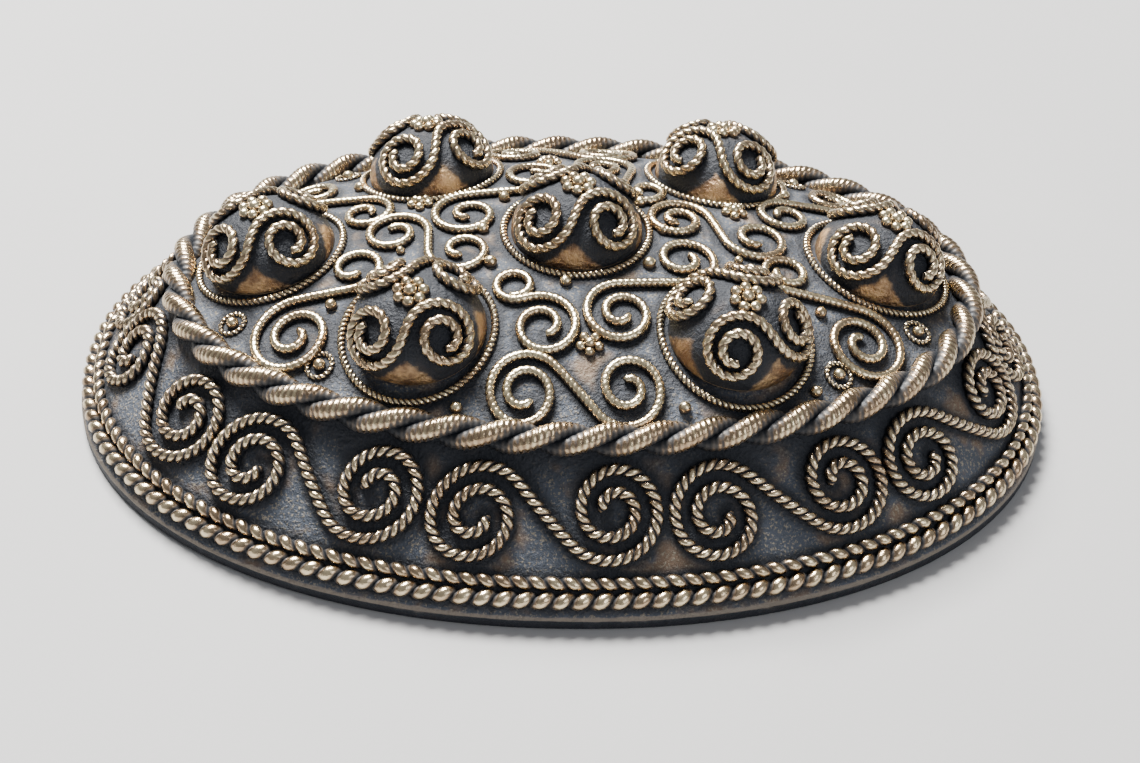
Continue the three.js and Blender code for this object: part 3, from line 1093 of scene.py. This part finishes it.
@dataclass
class Shell(Part):
    """The hollow casting without its relief: crown, flange, plain edge, foot and inside."""

    lines: list[Line] = field(kw_only=True)
    segments: int = 400
    crown_rings: int = 46
    flange_rings: int = 29
    wall_rings: int = 9
    inner_rings: int = 22
    foot: float = 2.0
    wall: float = 1.6
    inner_drop: float = 1.35
    inner_in: float = 0.95
    core: float = 3.6
    core_depth: float = 3.0
    core_share: float = 0.85
    soften: float = 0.15
    edge_width: float = 0.17
    # How far down the flange, below the ridge, the painted shadow of the ridge rope reaches.
    rope_shadow_reach: float = 3.4
    open_reach: float = 1.15

    def rim(self, angle: Array, level: float, inward: float = 0.0) -> Array:
        """A ring of points on the plain edge or the foot."""
        c, s = oval(angle)
        return stacked(c * (FLANGE.a - inward), s * (FLANGE.b - inward), level)

    def outside(self, angle: Array, part: float) -> Array:
        """A ring on the crown's outer face."""
        c, s = oval(angle)
        return CROWN.at(CROWN.offset + c * CROWN.a * part, s * CROWN.b * part)

    def inside(self, angle: Array, part: float) -> Array:
        """Finds a ring on the crown's inner face.

        Args:
            angle: the angle parameters of the ring's points.
            part: how far out it lies: 0 in the middle, 1 under the ridge.

        Returns:
            The ring's points.
        """
        c, s = oval(angle)
        low = CROWN.ridge - self.inner_drop
        rise = (CROWN.top - self.wall - low) * (1 - part**CROWN.power)
        x = CROWN.offset + c * (CROWN.a - self.inner_in) * part
        return stacked(x, s * (CROWN.b - self.inner_in) * part, low + rise)

    def rings(self, angle: Array) -> tuple[list[Array], list[Array]]:
        """Finds every ring of the profile, from the crown's top round to the inside's.

        Args:
            angle: the angle parameters of one ring's points.

        Returns:
            The rings that show on the outside, and the others.
        """
        soft = self.soften
        shown = [self.outside(angle, part) for part in np.linspace(0, 1, self.crown_rings)]
        shown += [FLANGE.by_angle(angle, up) for up in np.linspace(FLANGE.slope, 0, self.flange_rings)[1:]]
        shown += [self.rim(angle, level) for level in (FLANGE.edge - soft, soft)]
        shown += [self.rim(angle, 0.0, soft)]
        hidden = [self.rim(angle, 0.0, inward) for inward in (self.foot / 2, self.foot - soft)]
        sill, wall_top = self.rim(angle, soft, self.foot), self.inside(angle, 1.0)
        hidden += [sill + (wall_top - sill) * part for part in np.linspace(0, 1, self.wall_rings)]
        hidden += [self.inside(angle, part) for part in np.linspace(1, 0, self.inner_rings)[1:]]
        return shown, hidden

    def sheet(self) -> Piece:
        """Rolls a sheet round the profile, closes it and paints its edge band and the painted shadow under
        the ridge rope and on the edge's upright face.

        Returns:
            The closed shell.
        """
        shown, hidden = self.rings(np.linspace(0, TURN, self.segments + 1))
        places = np.stack(shown + hidden)
        last = len(places) - 1
        sheet = made("grid", x_subdivisions=self.segments, y_subdivisions=last, size=2)
        flat = (coordinates(sheet) + 1) / 2
        column = np.rint(flat[:, 0] * self.segments).astype(int)
        row = np.rint(flat[:, 1] * last).astype(int)
        put(sheet, places[row, column])
        outer = row < len(shown)
        level = coordinates(sheet)[:, 2]
        # Painted shadow: the flange just under the ridge rope is painted darker, fading out down the slope,
        # and the upright face of the plain edge is painted darker as well.
        rope_shadow = np.clip((level - CROWN.ridge + self.rope_shadow_reach) / self.rope_shadow_reach, 0, 1) * (row >= self.crown_rings)
        upright = (level < FLANGE.edge - 0.1) * outer
        # Edge band: a pale band along the top of the plain edge, kept to the top where light falls, so it
        # is partly rubbed metal and partly a painted highlight.
        rim = np.exp(-(((level - FLANGE.edge - 0.02) / self.edge_width) ** 2))
        paint(sheet, "outside", outer)
        paint(sheet, "edge", rim * outer)
        paint(sheet, "painted_shadow", np.maximum(rope_shadow, 0.8 * upright))
        close_up(sheet, 1e-4)
        return sheet

    def hollow_bosses(self, sheet: Piece) -> None:
        """Cuts the round hollows that the cores leave under the middle bosses, and paints them as inside.

        Args:
            sheet: the closed shell.
        """
        hollow = [boss for boss in BOSSES if boss.hollow]
        for boss in hollow:
            core = ball(40, 20)
            size = (self.core, self.core, self.core_depth)
            put(core, boss.seat().place(coordinates(core) * size - (0.0, 0.0, self.wall)))
            cut(sheet, core)
        outside = np.zeros(len(sheet.data.vertices), np.float32)
        sheet.data.attributes["outside"].data.foreach_get("value", outside)
        x, y, _ = coordinates(sheet).T
        for boss in hollow:
            outside[np.hypot(x - boss.x, y - boss.y) < self.core_share * boss.radius] = 0.0
        paint(sheet, "outside", outside)

    def model(self) -> list[Piece]:
        """Models the shell and paints where its ground lies open between the wires."""
        sheet = self.sheet()
        self.hollow_bosses(sheet)
        paint_open([sheet], self.lines, self.open_reach)
        return [sheet]


@dataclass
class BossDomes(Part):
    """The seven domes, hollow below in the middle five, with coppery patches low between their scrolls."""

    lines: list[Line] = field(kw_only=True)
    segments: int = 84
    rings: int = 44
    sunk: float = 1.0
    wall: float = 1.6
    core: float = 3.64
    core_depth: float = 3.04
    open_reach: float = 3.2

    def dome(self, boss: Boss) -> Piece:
        """Models one closed dome, standing a little way down in the crown's wall.

        Args:
            boss: which boss it is.

        Returns:
            The dome, with its bare patches painted.
        """
        dome = ball(self.segments, self.rings)
        x, y, z = coordinates(dome).T
        deep = z * np.where(z > 0, boss.height, self.sunk)
        if boss.hollow:
            inner = np.clip(np.hypot(x, y) * boss.radius / self.core, 0, 1)
            hollow = self.core_depth * np.sqrt(1 - inner**2) - self.wall
            deep = np.where(z < 0, np.maximum(deep, hollow), deep)
        put(dome, boss.seat().place(stacked(x * boss.radius, y * boss.radius, deep)))
        turn = np.arctan2(y, x) - math.radians(boss.bearing)
        width = np.abs((turn / RIGHT_ANGLE + 0.5) % 1.0 - 0.5) * 2
        outside = (z > -1e-3).astype(float)
        patch = eased(0.80 - width * 0.95 - np.clip(z, 0, 1) * 1.1, 0.0, 0.58)
        paint(dome, "bare", patch * outside)
        paint(dome, "outside", outside)
        return dome

    def model(self) -> list[Piece]:
        """Models the domes and paints where they lie open."""
        domes = [self.dome(boss) for boss in BOSSES]
        paint_open(domes, self.lines, self.open_reach)
        return domes


# ---- hinge, catch and pin ----


@dataclass(frozen=True)
class Hinge:
    """What the lugs, the rivet and the pin share."""

    x: float = -26.0
    z: float = 3.3
    hole: float = 0.9
    thick: float = 1.2
    gap: float = 2.2

    def middle(self, y: float = 0.0) -> Triple:
        """A place on the hinge's axis."""
        return self.x, y, self.z


@dataclass
class LugsAndCatch(Part):
    """The lugs that hold the rivet and the catch that holds the pin, cast with the shell."""

    hinge: Hinge = Hinge()
    eye: float = 1.9
    root: float = 4.6
    outer_top: float = 10.6
    inner_top: float = 12.2
    lug_round: float = 0.12
    catch_x: float = 23.2
    catch_wide: float = 3.0
    catch_thick: float = 1.0
    catch_round: float = 0.14
    stations: tuple[Triple, ...] = (
        (4.1, 12.2, 0.0), (4.1, 6.0, 0.0), (4.1, 2.3, 0.0), (3.9, 1.7, 40.0), (3.3, 1.45, 80.0),
        (2.7, 1.45, 95.0), (2.2, 1.55, 130.0), (1.95, 1.95, 175.0), (1.95, 2.4, 180.0),
    )

    def lug(self, hand: int) -> Piece:
        """Models one cheek with its round eye, widening to its root in the crown.

        Args:
            hand: -1 for the lug in front, 1 for the one behind.

        Returns:
            The drilled lug.
        """
        hinge = self.hinge
        middle = hinge.middle(hand * (hinge.gap + hinge.thick) / 2)
        cheek = rod(48, self.eye, hinge.thick)
        points = coordinates(cheek)
        upper = points[:, 2] > 1e-4
        part = points[upper, 0] / self.eye
        top = (self.outer_top + self.inner_top) / 2 + part * (self.inner_top - self.outer_top) / 2
        points[upper, 2] = top - hinge.z
        points[upper, 0] = part * self.root / 2
        put(cheek, points + middle)
        cut(cheek, rod(32, hinge.hole, hinge.thick * 2, middle))
        soften(cheek, self.lug_round)
        return cheek

    def catch(self) -> Piece:
        """Models the catch: a strip that hangs from the crown, turns under and ends in a raised lip.

        Returns:
            The strip, by stations that give its place and its turn in degrees.
        """
        strip = made("circle", vertices=4, radius=1, fill_type="NOTHING")
        spans = len(self.stations) - 1
        way = {"steps": spans, "render_steps": spans, "screw_offset": 1.0}
        apply_modifier(strip, "SCREW", axis="Z", angle=0.0, use_merge_vertices=False, **way)
        x, y, z = coordinates(strip).T
        width = np.sign(np.rint(x + y)) * self.catch_wide / 2
        depth = np.sign(np.rint(y - x)) * self.catch_thick / 2
        across, level, turn = np.array(self.stations)[np.rint(z * spans).astype(int)].T
        across += depth * np.cos(np.radians(turn))
        level += depth * np.sin(np.radians(turn))
        put(strip, stacked(self.catch_x + width, across, level))
        close_up(strip)
        soften(strip, self.catch_round)
        return strip

    def model(self) -> list[Piece]:
        """Models both lugs and the catch."""
        meshes = [self.lug(-1), self.lug(1), self.catch()]
        for mesh in meshes:
            paint(mesh, "open", np.ones(len(mesh.data.vertices)))
        return meshes


@dataclass
class Rivet(Part):
    """The rivet, with a low round head at each end."""

    hinge: Hinge = Hinge()
    radius: float = 0.6
    under_heads: float = 0.8

    def model(self) -> list[Piece]:
        """Models the rod and its heads, as long and as wide as the frame's rivet."""
        low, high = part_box("hinge_rivet")
        half = (high.y - low.y) / 2 / MM
        head = (high.x - low.x) / 2 / MM
        foot = self.hinge.gap / 2 + self.hinge.thick + 0.02
        parts = [rod(40, self.radius, 2 * half - self.under_heads, self.hinge.middle())]
        for hand in (-1, 1):
            button = ball(40, 20)
            x, y, z = coordinates(button).T
            outward = hand * (foot + np.clip(z, 0, 1) * (half - foot))
            put(button, stacked(x * head, outward, y * head) + self.hinge.middle())
            close_up(button)
            parts.append(button)
        return parts


@dataclass
class Pin(Part):
    """The pin: a wire eye on the rivet and a shank that tapers to a point."""

    hinge: Hinge = Hinge()
    eye: float = 1.8
    thick: float = 1.6
    shank: float = 0.75
    tip: float = 0.15
    length: float = 51.0
    taper: float = 12.0
    spans: int = 25

    def model(self) -> list[Piece]:
        """Models the pin in its place on the rivet."""
        place = self.hinge.middle()
        minor = (self.eye - self.hinge.hole) / 2
        counts = {"major_segments": 48, "minor_segments": 20}
        turned = {"rotation": (RIGHT_ANGLE, 0, 0)}
        loop = made("torus", major_radius=self.eye - minor, minor_radius=minor, **counts, **turned)
        put(loop, coordinates(loop) * (1, self.thick / 2 / minor, 1) + place)
        shank = made("cylinder", vertices=24, radius=1, depth=1, end_fill_type="TRIFAN")
        bpy.ops.object.mode_set(mode="EDIT")
        for level in np.linspace(-0.5, 0.5, self.spans + 1)[1:-1]:
            bpy.ops.mesh.select_all(action="SELECT")
            bpy.ops.mesh.bisect(plane_co=(0, 0, level), plane_no=(0, 0, 1))
        bpy.ops.object.mode_set(mode="OBJECT")
        x, y, z = coordinates(shank).T
        start = self.eye - 0.5
        along = start + (z + 0.5) * (self.length - start)
        part = np.clip((along - self.length + self.taper) / self.taper, 0, 1)
        radius = self.shank + (self.tip - self.shank) * part
        put(shank, stacked(along, x * radius, y * radius) + place)
        close_up(shank)
        return [loop, shank]


# ---- studio ----


@dataclass(frozen=True)
class Lamp:
    """A square soft light that faces the brooch.  Its sizes are metres and watts."""

    name: str
    place: Triple
    size: float
    power: float
    tint: Colour
    aim: Triple = (0.0, 0.0, 0.01)

    def hang(self) -> None:
        """Hangs the lamp, turned to the brooch."""
        data = bpy.data.lights.new(self.name, "AREA")
        data.shape = "SQUARE"
        data.size, data.energy, data.color = self.size, self.power, self.tint
        lamp = bpy.data.objects.new(self.name, data)
        lamp.location = self.place
        lamp.rotation_euler = (Vector(self.aim) - Vector(self.place)).to_track_quat("-Z", "Y").to_euler()
        bpy.context.scene.collection.objects.link(lamp)


@dataclass(frozen=True)
class Studio:
    """A plain pale floor, soft lights and the camera."""

    azimuth: float = -1.99
    elevation: float = 39.36
    roll: float = 2.24
    distance: float = 154.46
    target: Triple = (0.56, 0.0, 0.23)
    lens: float = 57.5
    sensor: float = 36.0
    floor_dark: Colour = (0.37, 0.37, 0.375)
    floor_pale: Colour = (0.41, 0.41, 0.415)
    sky: Colour = (0.93, 0.95, 1.0)
    sky_strength: float = 0.30
    lamps: tuple[Lamp, ...] = (
        Lamp("window", (-0.16, 0.34, 0.56), 0.26, 25.0, (1.0, 0.98, 0.94)),
        Lamp("fill", (0.40, -0.45, 0.40), 0.40, 1.6, (0.95, 0.97, 1.0)),
    )

    def camera(self) -> None:
        """Sets the camera on the front of the brooch, looking down on it."""
        turn, rise, roll = (math.radians(a) for a in (self.azimuth, self.elevation, self.roll))
        back = Vector((math.sin(turn) * math.cos(rise), -math.cos(turn) * math.cos(rise), math.sin(rise)))
        right = Vector((0, 0, 1)).cross(back).normalized()
        up = back.cross(right)
        right_rolled = right * math.cos(roll) + up * math.sin(roll)
        up_rolled = up * math.cos(roll) - right * math.sin(roll)
        data = bpy.data.cameras.new("camera")
        data.lens, data.sensor_width = self.lens, self.sensor
        data.clip_start, data.clip_end = 0.005, 20
        camera = bpy.data.objects.new("camera", data)
        matrix = Matrix((right_rolled, up_rolled, back)).transposed().to_4x4()
        matrix.translation = (Vector(self.target) + back * self.distance) * MM
        camera.matrix_world = matrix
        bpy.context.scene.collection.objects.link(camera)
        bpy.context.scene.camera = camera

    def floor(self) -> None:
        """Lays a wide pale floor just under the foot."""
        floor = made("plane", size=6, location=(0, 0, -0.00002))
        floor.name = "floor"
        graph = Graph("pale_floor")
        tone = graph.blend(graph.noise(40.0), self.floor_dark, self.floor_pale)
        floor.data.materials.append(graph.finish(tone, 0.0, 0.7, graph.noise(0.5), 0.01))

    def build(self) -> None:
        """Sets floor, lights, surroundings and camera."""
        self.floor()
        for lamp in self.lamps:
            lamp.hang()
        world = bpy.data.worlds.new("surroundings")
        world.use_nodes = True
        background = world.node_tree.nodes["Background"]
        background.inputs["Color"].default_value = (*self.sky, 1.0)
        background.inputs["Strength"].default_value = self.sky_strength
        bpy.context.scene.world = world
        self.camera()


# ---- assembly ----


def main() -> None:
    """Builds the brooch piece by piece, then the studio round it."""
    logging.basicConfig(level=logging.INFO, format="%(name)s: %(message)s")
    # Each wire finish takes painted shade on the wire's underside from the crest values painted on the
    # wire.
    wire = WornWireWithPaintedShade("worn_wire_painted_shade").make()
    rubbed = WornWireWithPaintedShade("rubbed_wire_painted_shade", bright=(0.86, 0.715, 0.465), warm=(0.47, 0.34, 0.215), full=1.0).make()
    coiled = {"bright": (0.89, 0.75, 0.485), "warm": (0.52, 0.38, 0.235), "start": 0.36, "full": 1.05}
    coil = WornWireWithPaintedShade("coil_wire", **coiled).make()
    reliefs: tuple[Relief, ...] = (
        FlangeScrolls("flange_scrolls", rubbed),
        CrownScrolls("crown_scrolls", wire),
        BossScrolls("boss_scrolls", coil),
        BossRings("boss_rings", wire),
        RimRopes("rim_ropes", rubbed),
        RidgeRope("ridge_rope", coil),
        Granules("granules", wire),
    )
    for relief in reliefs:
        relief.build()
    lines = [line for relief in reliefs for line in relief.lines]
    ground = CastGround("cast_ground").make()
    Shell("shell_ground", ground, stands_for=("shell",), lines=lines).build()
    BossDomes("boss_domes", ground, lines=lines).build()
    LugsAndCatch("lugs_and_catch", ground).build()
    plain = PlainBronze("plain_bronze").make()
    Rivet("rivet", plain, slot=Slot.PLAIN, stands_for=("hinge_rivet",)).build()
    Pin("pin_wire", plain, PIN_BODY, Slot.PLAIN, ("pin",)).build()
    Studio().build()


if __name__ == "__main__":
    main()
